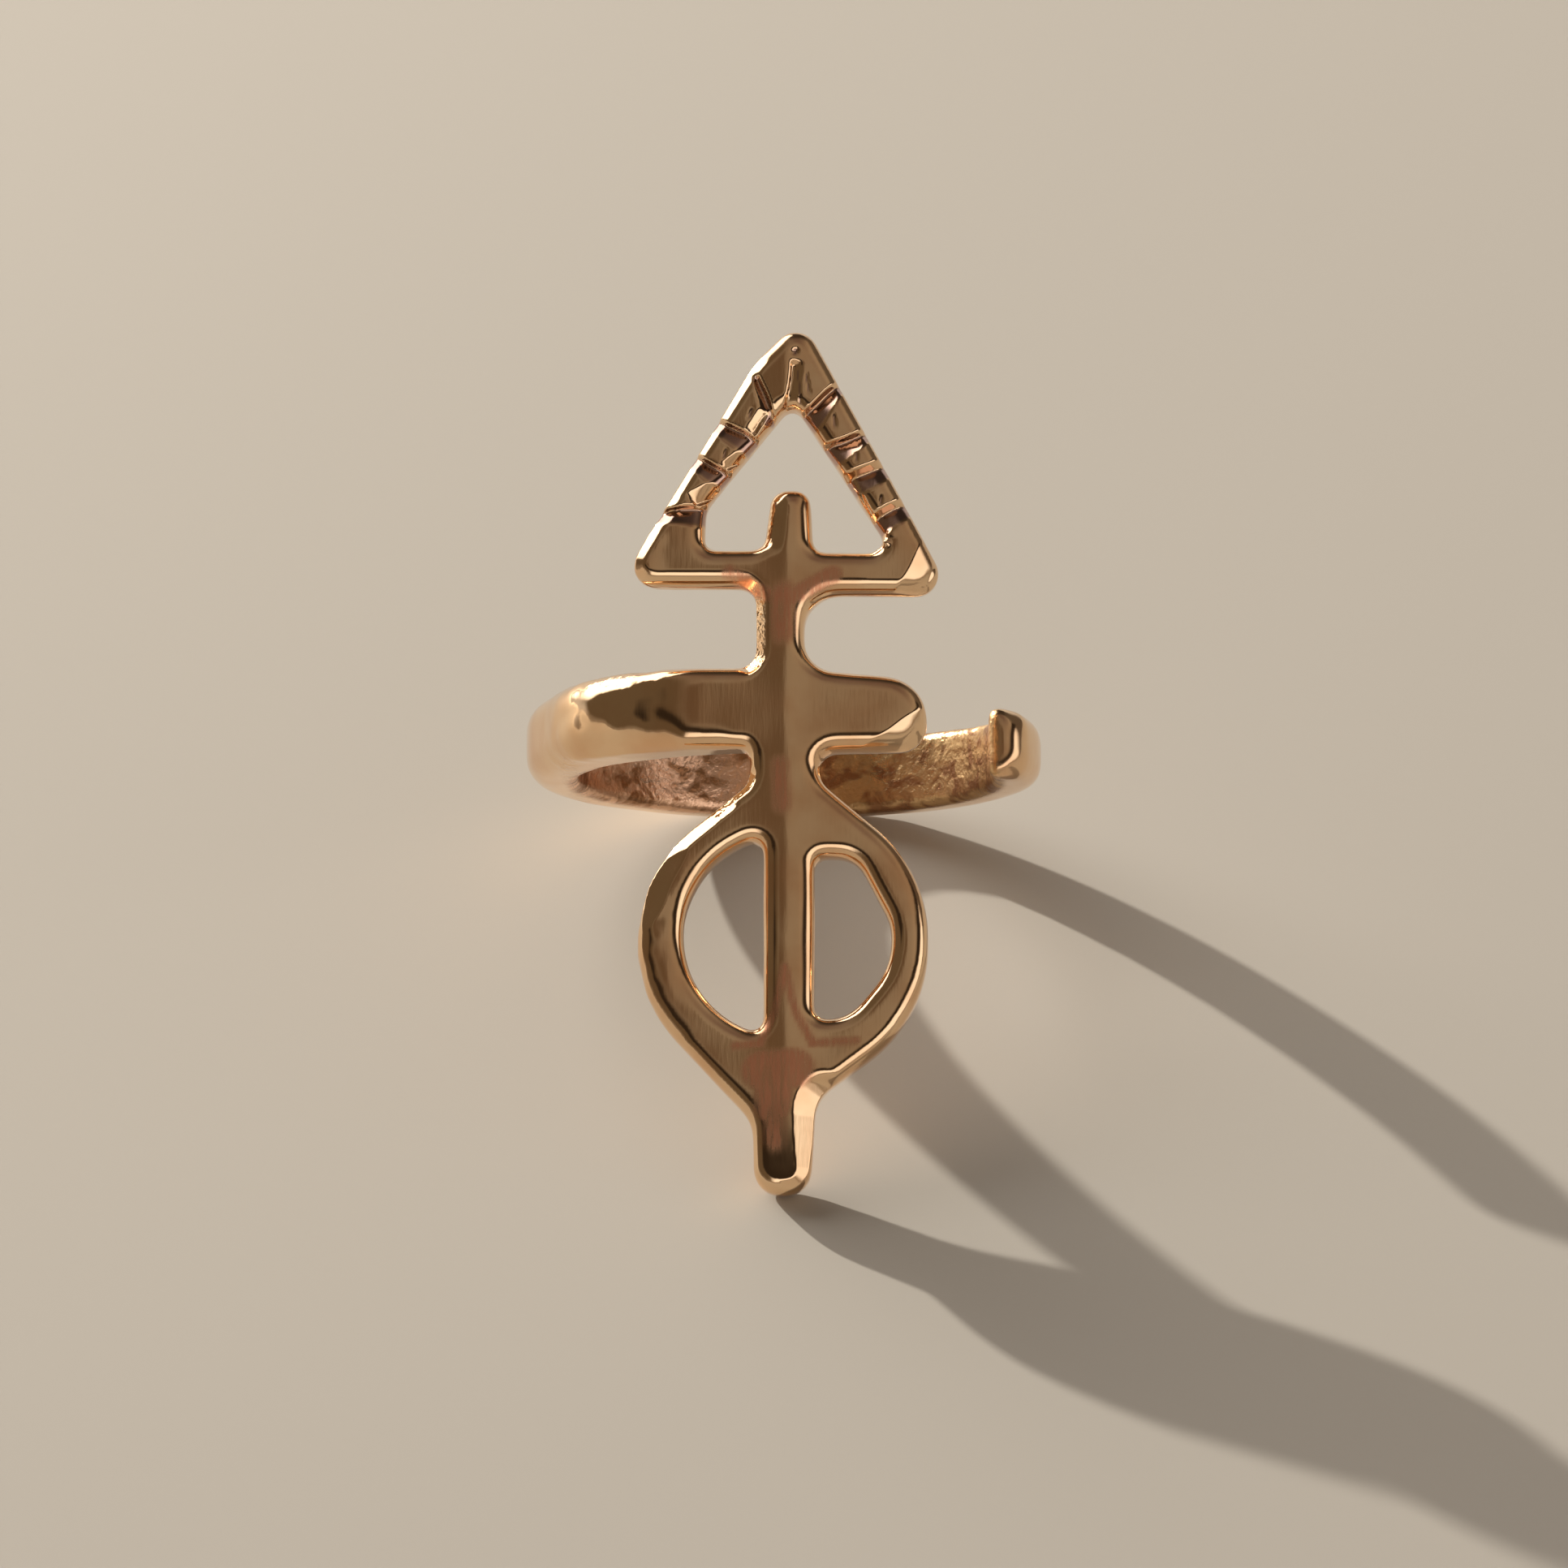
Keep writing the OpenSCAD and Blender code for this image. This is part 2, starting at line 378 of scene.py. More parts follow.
def edgeSamples(spacing=0.02):
    # points along every edge of the face, and along the band where the crossbar runs into it
    found = []
    for outline in outlines:
        for (here, _), (there, _) in zip(outline, outline[1:] + outline[:1]):
            steps = math.ceil((there - here).length / spacing) or 1
            found += [here.lerp(there, i / steps) for i in range(steps)]
    start, end = casting["joinFrom"], casting["joinTo"]
    found = [p for p in found if p.x > -start or abs(p.y) > casting["joinHalf"]]
    for x in np.arange(start, end, spacing):
        found += [Vector((-x, side * bandWidth / 2)) for side in (1, -1)]
    return found


def distanceToEdge(points, lowest=-1.5, far=9.0):
    # seen from the front; what lies deep below the face counts as far from every edge
    samples = edgeSamples()
    tree = kdtree.KDTree(len(samples))
    for i, point in enumerate(samples):
        tree.insert((point.x, point.y, 0), i)
    tree.balance()
    near = belowFace(points) > lowest
    return np.array([tree.find((x, y, 0))[2] if use else far for (x, y, _), use in zip(points, near)])


# The face is filed from its edges towards its middle line, and along a ridge down the middle
points = coordinates(ring)
fromEdge = distanceToEdge(points)
filed = polish["bevel"] * np.clip(1 - fromEdge / polish["bevelWidth"], 0, 1) ** 2
for *run, depth, width, runOut in softEdges:
    full = polish["fullWithin"] * width
    near = 1 - ramp(distanceToRun(points, *run), full, full + runOut)
    filed = np.maximum(filed, near * depth * np.clip(1 - fromEdge / width, 0, 1) ** 2)
aside = np.hypot(points[:, 0] - polish["ridgeX"], polish["ridgeRound"]) - polish["ridgeRound"]
filed += polish["ridge"] * (1 - np.exp(-aside / polish["ridgeReach"])) + polish["roof"] * aside
filed += polish["tailDrop"] * np.clip(polish["tailFrom"] - points[:, 1], 0, None) ** 2
filed *= ramp(belowFace(points), *polish["fadeBack"]) * (1 - ramp(-points[:, 0], *polish["fadeBand"]))
points[:, 2] -= filed
setCoordinates(ring, points)
applyModifier(ring, "SMOOTH", factor=polish["smooth"], iterations=polish["smoothSteps"])


def clouds(name, size):
    texture = bpy.data.textures.new(name, "CLOUDS")
    texture.noise_scale = size
    texture.noise_depth = 1
    return texture


def fingerDistance(points):
    return np.hypot(points[:, 0] - casting["bandMiddle"], points[:, 2] + outerR)


# Waves all over, cast skin inside the band, and dents on the shoulder
fromFinger = fingerDistance(points) - fingerR
weightGroup(ring, "inside", 1 - ramp(fromFinger, *polish["castReach"]))
applyModifier(ring, "DISPLACE", texture=clouds("waves", polish["waveSize"]), strength=polish["wave"])
applyModifier(ring, "DISPLACE", texture=clouds("skin", polish["castSize"]), strength=polish["cast"],
              vertex_group="inside")
onShoulder = ramp(-points[:, 0], *polish["dentFrom"]) * (1 - ramp(-points[:, 0], *polish["dentTo"]))
onShoulder *= points[:, 2] > polish["dentLowest"]
weightGroup(ring, "shoulder", onShoulder * ramp(fromFinger, *polish["dentReach"]))
applyModifier(ring, "DISPLACE", texture=clouds("dents", polish["dentSize"]), strength=polish["dent"],
              vertex_group="shoulder")
print("filed and polished")

# Flat facets filed on edges: start x, y, end x, y, width, slope, run out
flatEdges = [
    (-6.1, 5.9, -4.8, 8.3, 0.50, 0.90, 0.4),            # triangle, left
    (-4.6, 9.1, -3.5, 10.9, 0.48, 0.90, 0.5),
    (-3.1, 11.5, -1.5, 14.0, 0.50, 0.90, 0.5),
    (-0.9, 14.8, -0.3, 15.4, 0.30, 0.90, 0.4),
    (-1.6, -3.0, -2.6, -4.0, 0.42, 1.25, 0.3),          # waist, left
    (-2.8, -4.3, -4.4, -5.5, 0.60, 0.90, 0.5),          # loop, upper left
    (-5.6, 1.65, -8.4, 1.65, 0.55, 0.85, 0.6),          # shoulder
    (1.6, 4.65, 5.5, 4.65, 0.42, 0.38, 0.5),            # below the triangle
    (1.2, -16.2, 1.0, -18.9, 0.95, 0.57, 0.6),          # tail, right
    (5.6, -7.6, 5.6, -11.0, 0.26, 0.65, 0.6),           # loop, right
    (-1.15, 2.0, -1.15, 4.6, 0.50, 1.25, 0.4),          # neck, left
    (-0.75, 7.0, -0.60, 8.4, 0.32, 1.25, 0.3),          # peg, left
]
# Corners filed off, with the columns of the cuts below. The first two keep their round edge, and
# the last is filed flat right through it.
corners = [
    (5.15, 4.05, 6.53, 6.53, 0.90, 4.00, 4.00, 0.50),       # triangle, right foot
    (3.40, -2.70, 6.22, -0.79, 1.00, 4.00, 4.00, 0.42),     # crossbar's end
]
flatCorners = [
    (-4.41, -4.88, -6.75, -9.96, 1.00, 4.00, 4.00, 0.55),   # loop, left
]

# The triangle's sides, these facets and these corners get a finer mesh before they are cut
finer = {
    "aroundFlats": 0.25,                # beyond their width
    "aroundCorners": 1.1,
    "sidesFrom": 6.4,                   # y above which the notches are
    "lowest": -0.9,                     # height under the face
    "leastUpward": -0.2,                # z of a polygon's normal
}
bpy.ops.object.select_all(action="DESELECT")
ring.select_set(True)
bpy.context.view_layer.objects.active = ring
bpy.ops.object.mode_set(mode="EDIT")
bpy.ops.mesh.select_mode(type="FACE")
bpy.ops.mesh.select_all(action="DESELECT")
mesh = bmesh.from_edit_mesh(ring.data)
centres = np.array([each.calc_center_median() for each in mesh.faces])
fromFlats = np.min([distanceToRun(centres, *row[:4]) - row[4] for row in flatEdges], axis=0)
fromCorners = np.min([distanceToRun(centres, *row[:4]) for row in corners + flatCorners], axis=0)
chosen = (fromFlats < finer["aroundFlats"]) | (fromCorners < finer["aroundCorners"])
chosen = (chosen | (centres[:, 1] > finer["sidesFrom"])) & (belowFace(centres) > finer["lowest"])
for each, use in zip(mesh.faces, chosen):
    each.select_set(bool(use) and each.normal.z > finer["leastUpward"])
bmesh.update_edit_mesh(ring.data)
bpy.ops.mesh.subdivide(number_cuts=1)
bpy.ops.object.mode_set(mode="OBJECT")
print("refined", len(ring.data.polygons), "faces")

# Cuts with a file, in mm: start x, y, end x, y, width of the wall on the left of the run, and of
# the one on its right where it starts and where it ends, depth
notches = [
    (0.55, 11.78, 2.45, 13.46, 0.15, 1.05, 0.30, 0.40),     # right side, from the tip down
    (1.45, 10.52, 3.55, 11.34, 0.17, 1.10, 0.35, 0.42),
    (2.20, 9.06, 4.30, 10.04, 0.34, 0.95, 0.55, 0.40),
    (3.20, 7.38, 5.20, 8.49, 0.30, 0.95, 0.55, 0.38),
    (-1.15, 13.73, -0.33, 11.55, 0.15, 0.20, 0.50, 0.26),   # left side
    (-2.98, 12.00, -0.90, 10.80, 0.12, 0.45, 0.95, 0.36),
    (-3.93, 10.52, -1.85, 9.32, 0.12, 0.45, 0.95, 0.38),
    (-5.35, 8.02, -2.80, 8.26, 0.13, 0.45, 0.95, 0.38),
]
facets = [
    (-0.60, 12.20, -1.32, 11.10, 0.10, 0.40, 0.40, 0.20),   # wedges at the inner end of the left ones
    (-1.45, 10.35, -2.45, 9.68, 0.10, 0.38, 0.38, 0.18),
    (-2.50, 9.00, -3.70, 8.18, 0.12, 0.52, 0.68, 0.29),
    (0.43, 14.30, 0.03, 11.80, 0.40, 0.16, 0.12, 0.22),     # groove below the tip
    (2.70, 9.62, 3.75, 7.45, 0.09, 0.12, 0.12, 0.12),
]
creases = [
    (0.90, 13.80, 1.02, 12.70, 0.06, 0.06, 0.06, 0.05),
    (2.00, 12.10, 2.12, 11.35, 0.07, 0.07, 0.07, 0.06),
    (2.95, 10.55, 2.90, 9.95, 0.07, 0.07, 0.07, 0.06),
    (4.00, 8.75, 3.85, 8.15, 0.07, 0.07, 0.07, 0.06),
    (-1.25, 12.35, -1.45, 11.75, 0.07, 0.07, 0.07, 0.06),
    (-2.35, 10.70, -2.50, 10.10, 0.07, 0.07, 0.07, 0.06),
    (0.55, 14.00, 0.66, 12.30, 0.06, 0.06, 0.06, 0.05),
]
fileMarks = {
    "wander": 0.025, "wanderRate": 3.1,     # how far a cut strays sideways, and how often
    "ends": 0.25,                           # length over which it runs out
    "fade": (-1.35, -0.35),                 # heights between which cuts fade out down the sides
    "cornerFade": (-1.3, -0.4),             # and between which filed corners do
    "pit": (0.46, 14.62), "pitRadius": 0.10, "pitDepth": 0.12,      # below the tip
    "smooth": 0.35,
}
# Beads of metal that the mould left in the triangle's right corner
castBeads = {
    "places": [(3.68, 6.55, -0.35), (4.20, 6.70, -0.25), (4.36, 7.03, -0.3)],
    "radius": 0.15, "height": 0.2,
}


def filedDepth(points, cuts, floorsOnly=False):
    # how deep the cuts go at each point; floorsOnly leaves out their walls on the left
    depth = np.zeros(len(points))
    for x0, y0, x1, y1, leftWall, rightStart, rightEnd, deep in cuts:
        run = np.array((x1 - x0, y1 - y0))
        length = np.hypot(*run)
        away = points[:, :2] - (x0, y0)
        along = away @ run / length
        aside = away @ (-run[1], run[0]) / length
        aside += fileMarks["wander"] * np.sin(fileMarks["wanderRate"] * along + y0)
        rightWall = rightStart + (rightEnd - rightStart) * np.clip(along / length, 0, 1)
        wall = np.where(aside > 0, 1 - aside / leftWall, 1 + aside / rightWall)
        if floorsOnly:
            wall = np.where(aside > 0, 0, wall)
        ends = ramp(along, 0, fileMarks["ends"]) * (1 - ramp(along, length - fileMarks["ends"], length))
        depth = np.maximum(depth, deep * np.clip(wall, 0, 1) * ends)
    return depth


def distanceToPit(points):
    return np.hypot(points[:, 0] - fileMarks["pit"][0], points[:, 1] - fileMarks["pit"][1])


points = coordinates(ring)
normals = coordinates(ring, "normal")
fromEdge = distanceToEdge(points)
for *run, width, slope, runOut in flatEdges:
    near = 1 - ramp(distanceToRun(points, *run), width, width + runOut)
    over = belowFace(points) + slope * np.clip(width - fromEdge, 0, None)
    points[:, 2] -= np.where(fromEdge < width, near * np.clip(over, 0, None), 0)
depth = filedDepth(points, notches + facets + creases)
depth += fileMarks["pitDepth"] * np.exp(-(distanceToPit(points) / fileMarks["pitRadius"]) ** 2)
depth *= ramp(points[:, 2], *fileMarks["fade"])
points[:, 2] -= np.where(points[:, 1] > finer["sidesFrom"], depth, 0)
points[:, 2] -= filedDepth(points, corners) * ramp(belowFace(points), *fileMarks["cornerFade"])
depth = filedDepth(points, flatCorners)
points[:, 2] -= np.where(depth > 0, np.clip(belowFace(points) + depth, 0, None), 0)
for place in castBeads["places"]:
    away = np.linalg.norm(points - place, axis=1)
    points += normals * (castBeads["height"] * np.exp(-(away / castBeads["radius"]) ** 2))[:, None]
setCoordinates(ring, points)
applyModifier(ring, "SMOOTH", factor=fileMarks["smooth"], iterations=1)
print("facets, corners and notches cut")

# How worn each place is, and where shade and reflection are painted, kept for the material: raw
# inside the band, rose patches on the front whose pink is partly a painted reflection, pitted skin
# on the edges that the wheel hardly reached, and painted shade in the cuts. Each patch is a run with
# its radius and the width of its soft border: start x, y, end x, y, radius, border
worn = {
    "rawReach": (0.25, 0.7),            # from the finger, over which the raw skin ends
    "lowest": -1,                       # height under the face where patches and tarnish stop
    "notchDepth": (0.03, 0.10),         # over which painted shade sets in
    "creaseDepth": (0.01, 0.04), "pitRadius": (0.07, 0.16),
    "facetDepth": (0.02, 0.06),         # over which a bright wedge ends the painted shade
    # rose patches: a duller finish, with a pink that is a painted reflection
    "rose": [(-2.2, 5.5, -0.2, 4.3, 0.30, 0.3), (2.0, 5.4, 0.0, 4.3, 0.35, 0.3),    # neck
             (0.0, 4.6, -0.1, 3.1, 0.50, 0.6), (-0.2, -2.4, -0.1, -4.0, 0.35, 0.5),
             (0.0, -10.6, -0.4, -12.5, 0.15, 0.2), (-0.4, -12.5, -0.9, -13.6, 0.16, 0.2),   # loop
             (0.0, -10.6, 0.5, -12.5, 0.15, 0.2), (0.5, -12.5, 1.1, -13.6, 0.16, 0.2),
             (-0.9, -13.7, -2.0, -13.8, 0.15, 0.2), (1.1, -13.7, 2.9, -13.6, 0.15, 0.2),
             (-0.9, -14.8, 0.4, -14.7, 0.80, 0.3), (-0.4, -15.2, -0.5, -16.2, 0.75, 0.3),   # tail
             (-0.4, -16.2, -0.4, -17.6, 0.45, 0.6)],
    "pitted": [(-8.0, 1.3, -6.2, 1.4, 0.2, 0.4), (-9.2, -1.6, -8.6, -2.2, 0.3, 0.5),
               (-1.1, 2.0, -1.1, 4.6, 0.3, 0.3), (-1.5, -3.0, -2.8, -4.4, 0.25, 0.3),
               (-0.8, 6.9, -0.6, 8.4, 0.2, 0.3)],
}


def patches(points, rows):
    found = np.zeros(len(points))
    for *run, radius, soft in rows:
        away = distanceToRun(points, *run)
        found = np.maximum(found, 1 - ramp(away, radius - soft / 2, radius + soft / 2))
    return found


points = coordinates(ring)
inFront = points[:, 2] > worn["lowest"]
raw = 1 - ramp(fingerDistance(points) - fingerR, *worn["rawReach"])
# painted reflection: the pink rose patches on the front
rose = patches(points, worn["rose"]) * inFront
pitted = patches(points, worn["pitted"]) * (1 - raw)
# painted shade in the floors of the notches, in the creases and in the pit below the tip; the wedges end it
cut = ramp(filedDepth(points, notches, floorsOnly=True), *worn["notchDepth"])
cut *= 1 - ramp(filedDepth(points, facets), *worn["facetDepth"])
cut = np.maximum(cut, ramp(filedDepth(points, creases), *worn["creaseDepth"]))
cut = np.maximum(cut, 1 - ramp(distanceToPit(points), *worn["pitRadius"]))
cut *= inFront & (points[:, 1] > finer["sidesFrom"])
for name, values in (("raw", raw), ("rose", rose), ("pitted", pitted), ("cut", cut)):
    attribute = ring.data.attributes.new(name, "FLOAT", "POINT")
    attribute.data.foreach_set("value", values.astype(np.float32))
ring.vertex_groups.clear()

# Into the row's frame: from the finger's middle, leaned, in metres
toFinger = Matrix.Translation((-casting["bandMiddle"], 0, outerR))
drawingToRow = (Matrix.Translation(fingerCentre) @ Matrix.Rotation(lean, 4, "X")
                @ Matrix.Scale(metresPerMm, 4) @ toFinger)
ring.data.transform(drawingToRow)
bpy.ops.object.select_all(action="DESELECT")
ring.select_set(True)
bpy.context.view_layer.objects.active = ring
bpy.ops.object.shade_smooth()
ring.data.calc_loop_triangles()
print("leaned,", len(ring.data.loop_triangles), "triangles")


def addNode(tree, kind, links=(), **settings):
    # settings are the node's own properties, or its inputs by name with underscores for spaces;
    # links are pairs of an input's name or number and the output that feeds it
    node = tree.nodes.new(kind)
    for key, value in settings.items():
        if hasattr(node, key):
            setattr(node, key, value)
        else:
            node.inputs[key.replace("_", " ")].default_value = value
    for name, source in links:
        tree.links.new(source, node.inputs[name])
    return node


# Cast bronze, polished: warm rose gold mirrors with soft wear, a rough and darker skin inside
# the band, duller rose patches whose pink is a painted reflection, and painted shade in the cuts
bronze = {
    "polished": "#f0cda4",
    "deep": "#e6bb90",
    # pink of the rose patches, a painted reflection on a duller finish
    "rose": "#e4a17c",
    "cutShade": "#c09e8e",                       # painted shade in the floors of the notches, the creases and the pit
    "stain": "#a97c58",
    "raw": "#f0c4a2", "rawDark": "#dcb684",     # inside the band, on the left and on the right
    "roughness": 0.09, "dullness": (0.7, 1.6),  # of the polish, and the factors by which it varies
    "roseDuller": 0.3, "rawDuller": 0.2,        # added to it
    "patchMm": 2.5,                             # slow patches in colour and shine
    "scratchMm": 0.12,                          # real marks are finer, these are as coarse as must show
    "markStretch": 0.12,                        # they run from the triangle to the tail
    "grainMm": 0.25, "pitMm": 0.22,
    "blotchMm": 0.9, "blotchStretch": 0.5,      # blotches are drawn out sideways
    "markDepthMm": 0.02, "grainDepthMm": 0.08, "pitDepthMm": 0.08,
    "sidesMm": 2,                               # from the middle, where each raw tint is pure
}


def castBronze():
    material = bpy.data.materials.new("cast bronze polished")
    material.use_nodes = True
    tree = material.node_tree
    shader = tree.nodes["Principled BSDF"]
    shader.inputs["Metallic"].default_value = 1.0
    place = addNode(tree, "ShaderNodeTexCoord").outputs["Object"]
    rawMask, roseMask, pitMask, cutMask = [
        addNode(tree, "ShaderNodeAttribute", attribute_name=name).outputs["Fac"]
        for name in ("raw", "rose", "pitted", "cut")]
    perMetre = 1 / metresPerMm
    mottle = addNode(tree, "ShaderNodeTexNoise", [("Vector", place)],
                     Scale=perMetre / bronze["patchMm"], Detail=3.0).outputs["Fac"]
    grain = addNode(tree, "ShaderNodeTexNoise", [("Vector", place)],
                    Scale=perMetre / bronze["grainMm"], Detail=4.0).outputs["Fac"]
    stretch = addNode(tree, "ShaderNodeMapping", [("Vector", place)],
                      Scale=(1.0, bronze["markStretch"], bronze["markStretch"]))
    scratches = addNode(tree, "ShaderNodeTexNoise", [("Vector", stretch.outputs["Vector"])],
                        Scale=perMetre / bronze["scratchMm"], Detail=2.0).outputs["Fac"]
    pits = addNode(tree, "ShaderNodeTexNoise", [("Vector", place)],
                   Scale=perMetre / bronze["pitMm"], Detail=1.0).outputs["Fac"]

    # colour: polished metal with deeper patches, then the rose patches' painted reflection, painted shade
    # in the cuts, and the raw inside
    deeper = addNode(tree, "ShaderNodeMapRange", [("Value", mottle)], From_Min=0.42, From_Max=0.68)
    tint = addNode(tree, "ShaderNodeMix", [("Factor", deeper.outputs["Result"])], data_type="RGBA")
    tint.inputs[6].default_value = hexColour(bronze["polished"])
    tint.inputs[7].default_value = hexColour(bronze["deep"])
    streaks = addNode(tree, "ShaderNodeMapRange", [("Value", scratches)], From_Min=0.35, From_Max=0.6,
                      To_Min=0.55)
    # painted reflection: the rose patches' pink, broken up by the polishing marks
    roseEdge = addNode(tree, "ShaderNodeMath", [(0, roseMask), (1, streaks.outputs["Result"])],
                       operation="MULTIPLY").outputs["Value"]
    roseTint = addNode(tree, "ShaderNodeMix", [("Factor", roseEdge), (6, tint.outputs[2])],
                       data_type="RGBA")
    roseTint.inputs[7].default_value = hexColour(bronze["rose"])
    toRight = addNode(tree, "ShaderNodeSeparateXYZ", [("Vector", place)]).outputs["X"]
    darker = addNode(tree, "ShaderNodeMapRange", [("Value", toRight)],
                     From_Min=-bronze["sidesMm"] * metresPerMm, From_Max=bronze["sidesMm"] * metresPerMm)
    rawSides = addNode(tree, "ShaderNodeMix", [("Factor", darker.outputs["Result"])], data_type="RGBA")
    rawSides.inputs[6].default_value = hexColour(bronze["raw"])
    rawSides.inputs[7].default_value = hexColour(bronze["rawDark"])
    along = addNode(tree, "ShaderNodeMapping", [("Vector", place)],
                    Scale=(bronze["blotchStretch"], 1.0, 1.0))
    blotches = addNode(tree, "ShaderNodeTexNoise", [("Vector", along.outputs["Vector"])],
                       Scale=perMetre / bronze["blotchMm"], Detail=5.0, Distortion=0.8).outputs["Fac"]
    stained = addNode(tree, "ShaderNodeMapRange", [("Value", blotches)], From_Min=0.47, From_Max=0.6)
    rawStains = addNode(tree, "ShaderNodeMix", [("Factor", stained.outputs["Result"]),
                                                (6, rawSides.outputs[2])], data_type="RGBA")
    rawStains.inputs[7].default_value = hexColour(bronze["stain"])
    # painted shade: a darker tint in the cuts
    cutTint = addNode(tree, "ShaderNodeMix", [("Factor", cutMask), (6, roseTint.outputs[2])],
                      data_type="RGBA")
    cutTint.inputs[7].default_value = hexColour(bronze["cutShade"])
    rawTint = addNode(tree, "ShaderNodeMix", [("Factor", rawMask), (6, cutTint.outputs[2]),
                                              (7, rawStains.outputs[2])], data_type="RGBA")
    tree.links.new(rawTint.outputs[2], shader.inputs["Base Color"])

    # roughness: a mirror that is a little dull in its patches, duller on rose, dull inside
    shine = addNode(tree, "ShaderNodeMapRange", [("Value", mottle)], From_Min=0.35, From_Max=0.7,
                    To_Min=bronze["roughness"] * bronze["dullness"][0],
                    To_Max=bronze["roughness"] * bronze["dullness"][1])
    roseShine = addNode(tree, "ShaderNodeMath", [(0, roseEdge), (2, shine.outputs["Result"])],
                        operation="MULTIPLY_ADD")
    roseShine.inputs[1].default_value = bronze["roseDuller"]
    rawShine = addNode(tree, "ShaderNodeMath", [(0, rawMask), (2, roseShine.outputs["Value"])],
                       operation="MULTIPLY_ADD")
    rawShine.inputs[1].default_value = bronze["rawDuller"]
    tree.links.new(rawShine.outputs["Value"], shader.inputs["Roughness"])

    # bump: fine polishing marks everywhere, cast grain inside, pits on the rough edges
    marks = addNode(tree, "ShaderNodeBump", [("Height", scratches)],
                    Strength=0.08, Distance=bronze["markDepthMm"] * metresPerMm).outputs["Normal"]
    grainHeight = addNode(tree, "ShaderNodeMath", [(0, grain), (1, rawMask)], operation="MULTIPLY")
    skin = addNode(tree, "ShaderNodeBump", [("Height", grainHeight.outputs["Value"]), ("Normal", marks)],
                   Strength=0.6, Distance=bronze["grainDepthMm"] * metresPerMm).outputs["Normal"]
    pitHeight = addNode(tree, "ShaderNodeMath", [(0, pits), (1, pitMask)], operation="MULTIPLY")
    pitted = addNode(tree, "ShaderNodeBump", [("Height", pitHeight.outputs["Value"]), ("Normal", skin)],
                     Strength=0.7, Distance=bronze["pitDepthMm"] * metresPerMm)
    tree.links.new(pitted.outputs["Normal"], shader.inputs["Normal"])
    return material


ring.data.materials.clear()
ring.data.materials.append(castBronze())
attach(ring, "root")
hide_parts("ring")
print("bronze made")

# Studio: a pale floor, a small low key light from behind on the left, and a room whose soft
# panels are what the polished metal mirrors
studio = {
    "floorSize": 1.6, "floorColour": "#bcb5a9", "floorRoughness": 0.9,
    "keyFrom": (-0.70, 0.68, 0.30), "keyDistance": 0.8, "keySize": 0.018, "keyPower": 10,
    "keyColour": "#fffaf2",
    "wall": ("#ffe9cf", 0.34), "ceiling": ("#ffdccb", 0.17),
    "panelEdge": 3,                     # degrees by which a panel's top and bottom are soft
}
# Panels of the room: direction, half angle in degrees, softness of its border in degrees,
# lowest and highest elevation in degrees, where 90 is no limit, colour, brightness
panels = [
    ((-0.7, -0.45, 0.55), 46, 26, -90, 90, "#ffecd6", 0.25),    # left half of the room, dimmer
    ((0.0, 1.0, 0.5), 50, 20, -90, 90, "#f0d8c0", 0.06),        # dark wall behind
    ((0.0, 1.0, 0.0), 80, 15, -90, 22, "#fffaf4", 0.65),        # pale card, low, behind
    ((-0.85, -0.30, 0.40), 46, 14, 5, 90, "#ffe0b8", 0.13),     # dark side of the room
    ((0.85, 0.50, 0.30), 30, 16, -90, 90, "#ffe8d0", 0.12),     # doorway
    ((0.4, -0.91, 0.0), 80, 8, 27, 43, "#ffdcb8", 0.03),        # dark border over the low panel
    ((-0.13, -0.60, 0.78), 4.5, 4, 40, 90, "#ffd8b0", 0.13),    # camera and its stand
    ((0.60, -0.80, 0.0), 56, 10, 5, 26, "#fff8f4", 1.3),        # low panel on the right, in front
    ((-0.60, 0.62, 0.50), 27, 6, -90, 90, "#fffaf6", 3.2),      # window behind on the left
]


def addFloor():
    bpy.ops.object.select_all(action="DESELECT")
    bpy.ops.mesh.primitive_plane_add(size=studio["floorSize"])
    floor = bpy.context.object
    floor.name = "floor"
    material = bpy.data.materials.new("pale matt card")
    material.use_nodes = True
    shader = material.node_tree.nodes["Principled BSDF"]
    shader.inputs["Base Color"].default_value = hexColour(studio["floorColour"])
    shader.inputs["Roughness"].default_value = studio["floorRoughness"]
    floor.data.materials.append(material)


def addKey():
    direction = Vector(studio["keyFrom"]).normalized()
    light = bpy.data.lights.new("key", "AREA")
    light.size = studio["keySize"]
    light.energy = studio["keyPower"]
    light.color = hexColour(studio["keyColour"])[:3]
    lamp = bpy.data.objects.new("key", light)
    bpy.context.scene.collection.objects.link(lamp)
    lamp.location = fingerCentre + direction * studio["keyDistance"]
    lamp.rotation_euler = direction.to_track_quat("Z", "Y").to_euler()


def bright(colour, strength):
    return tuple(channel * strength for channel in hexColour(colour)[:3]) + (1.0,)


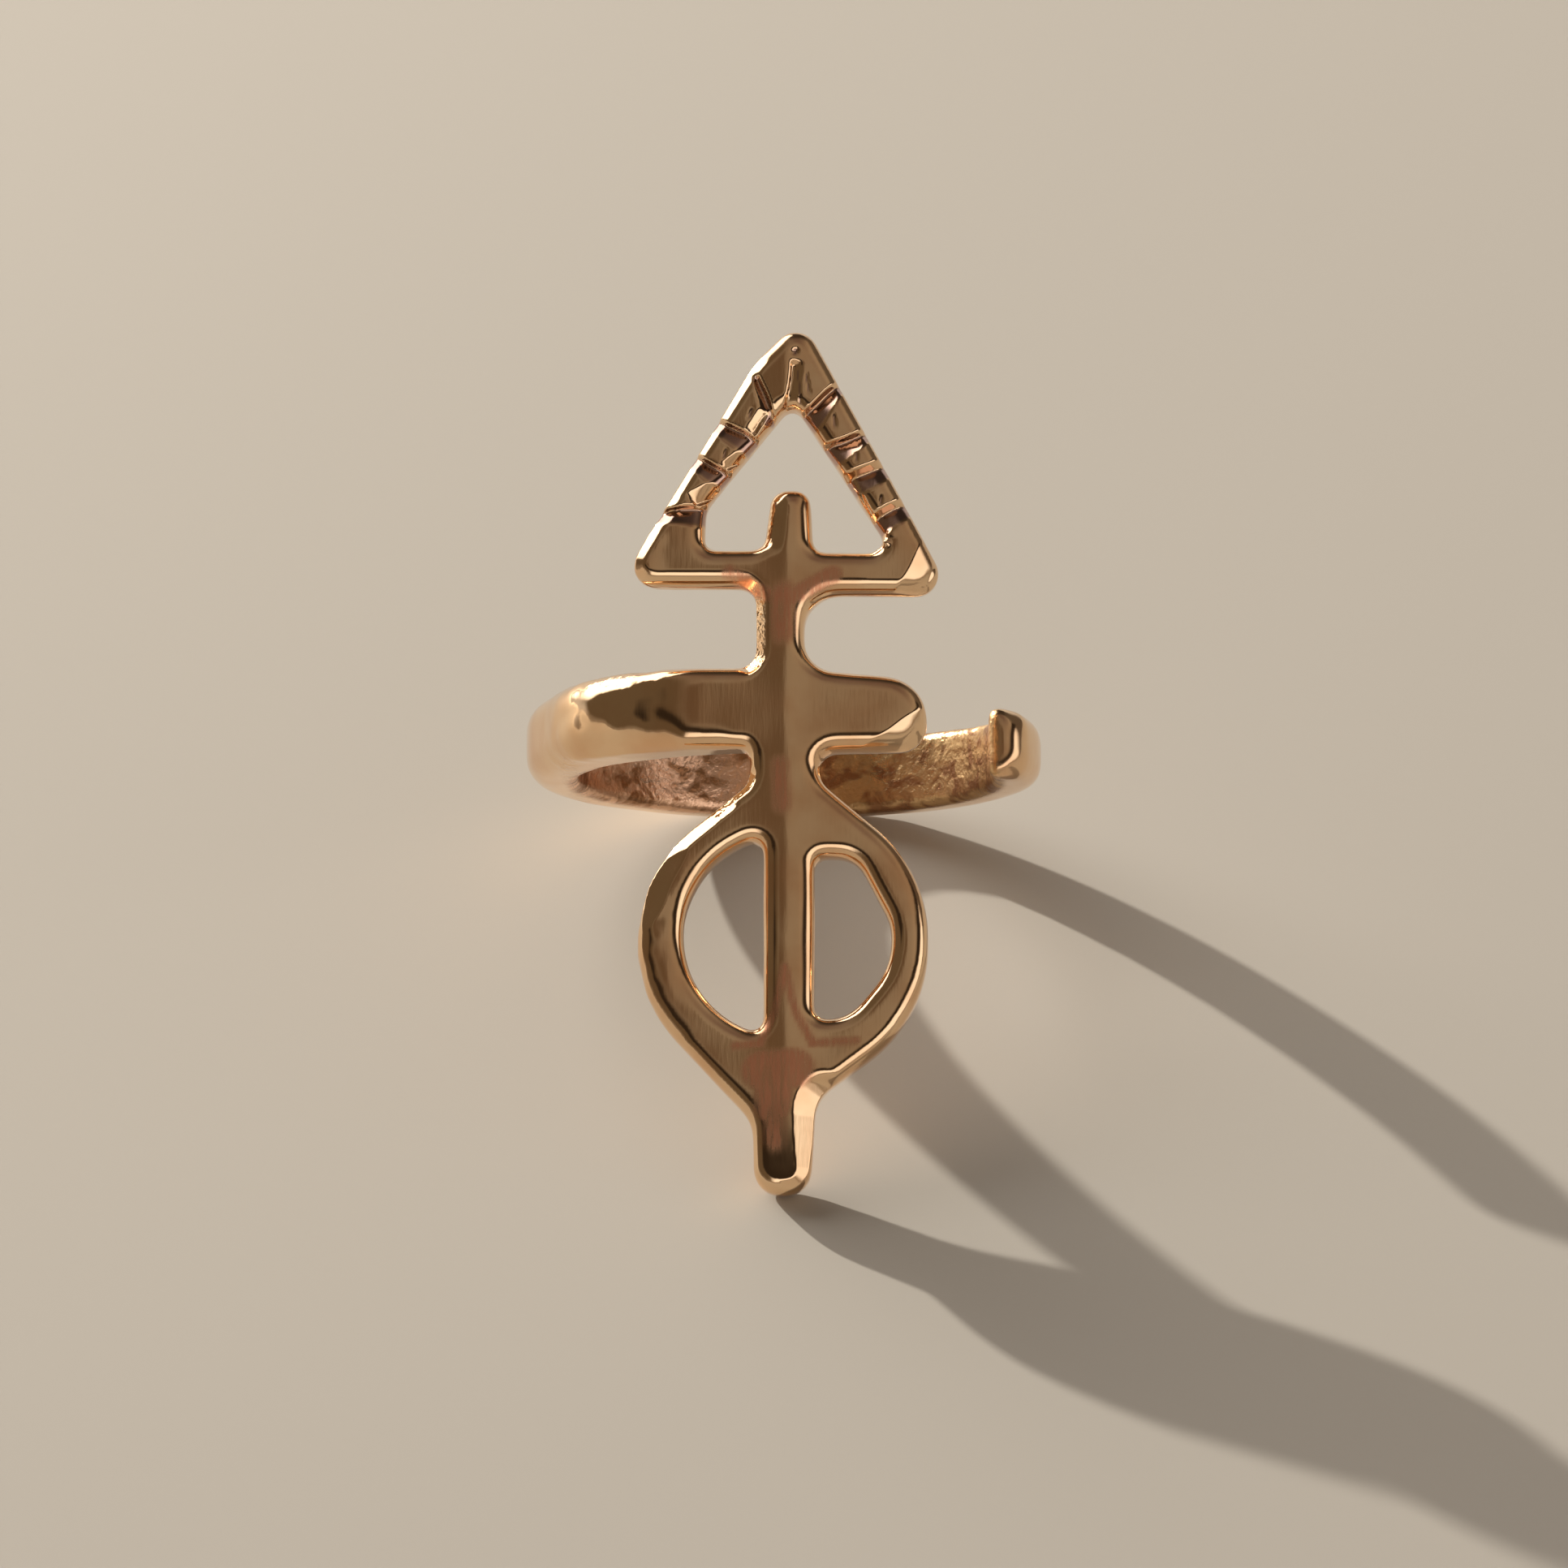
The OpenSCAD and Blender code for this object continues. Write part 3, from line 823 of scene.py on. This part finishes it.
def addRoom():
    world = bpy.data.worlds.new("soft studio room")
    world.use_nodes = True
    tree = world.node_tree
    towards = addNode(tree, "ShaderNodeTexCoord").outputs["Generated"]
    height = addNode(tree, "ShaderNodeSeparateXYZ", [("Vector", towards)]).outputs["Z"]
    overhead = addNode(tree, "ShaderNodeMapRange", [("Value", height)], From_Min=0.8, From_Max=0.97)
    room = addNode(tree, "ShaderNodeMix", [("Factor", overhead.outputs["Result"])], data_type="RGBA")
    room.inputs[6].default_value = bright(*studio["wall"])
    room.inputs[7].default_value = bright(*studio["ceiling"])
    for direction, reach, soft, low, high, colour, strength in panels:
        near = addNode(tree, "ShaderNodeVectorMath", [(0, towards)], operation="DOT_PRODUCT")
        near.inputs[1].default_value = Vector(direction).normalized()
        share = addNode(tree, "ShaderNodeMapRange", [("Value", near.outputs["Value"])],
                        From_Min=math.cos(math.radians(reach + soft / 2)),
                        From_Max=math.cos(math.radians(reach - soft / 2))).outputs["Result"]
        for edge, side in ((low, 1), (high, -1)):
            if abs(edge) < 90:
                within = addNode(tree, "ShaderNodeMapRange", [("Value", height)],
                                 From_Min=math.sin(math.radians(edge - side * studio["panelEdge"])),
                                 From_Max=math.sin(math.radians(edge + side * studio["panelEdge"]))
                                 ).outputs["Result"]
                share = addNode(tree, "ShaderNodeMath", [(0, share), (1, within)],
                                operation="MULTIPLY").outputs["Value"]
        room = addNode(tree, "ShaderNodeMix", [("Factor", share), (6, room.outputs[2])], data_type="RGBA")
        room.inputs[7].default_value = bright(colour, strength)
    tree.links.new(room.outputs[2], tree.nodes["Background"].inputs["Color"])
    bpy.context.scene.world = world


addFloor()
addKey()
addRoom()

# Camera: the photo's view of the face, almost square to it, from a little to the tail's side
# and to the right. View directions are in the drawing's frame.
view = {
    "tilt": 9.0, "turn": 2.0, "distanceMm": 300.0,
    "pxPerMm": 30.5, "imagePx": 1932, "aimY": -3.19, "sensorMm": 36,
}
tilt, turn = math.radians(view["tilt"]), math.radians(view["turn"])
toCamera = Vector((math.sin(turn) * math.cos(tilt), -math.sin(tilt), math.cos(turn) * math.cos(tilt)))
aim = Vector((0, view["aimY"], 0))
eye = toCamera * view["distanceMm"]
back = (eye - aim).normalized()
right = Vector((0, 1, 0)).cross(back).normalized()
above = back.cross(right)
leanOnly = Matrix.Rotation(lean, 3, "X")
turned = leanOnly @ Matrix((right, above, back)).transposed()
cameraData = bpy.data.cameras.new("camera")
cameraData.sensor_width = view["sensorMm"]
cameraData.lens = view["sensorMm"] * view["pxPerMm"] * view["distanceMm"] / view["imagePx"]
cameraData.clip_start = 0.01
camera = bpy.data.objects.new("camera", cameraData)
bpy.context.scene.collection.objects.link(camera)
camera.matrix_world = Matrix.Translation(drawingToRow @ eye) @ turned.to_4x4()
bpy.context.scene.camera = camera
bpy.context.scene.view_settings.view_transform = "Standard"
print("studio and camera set")
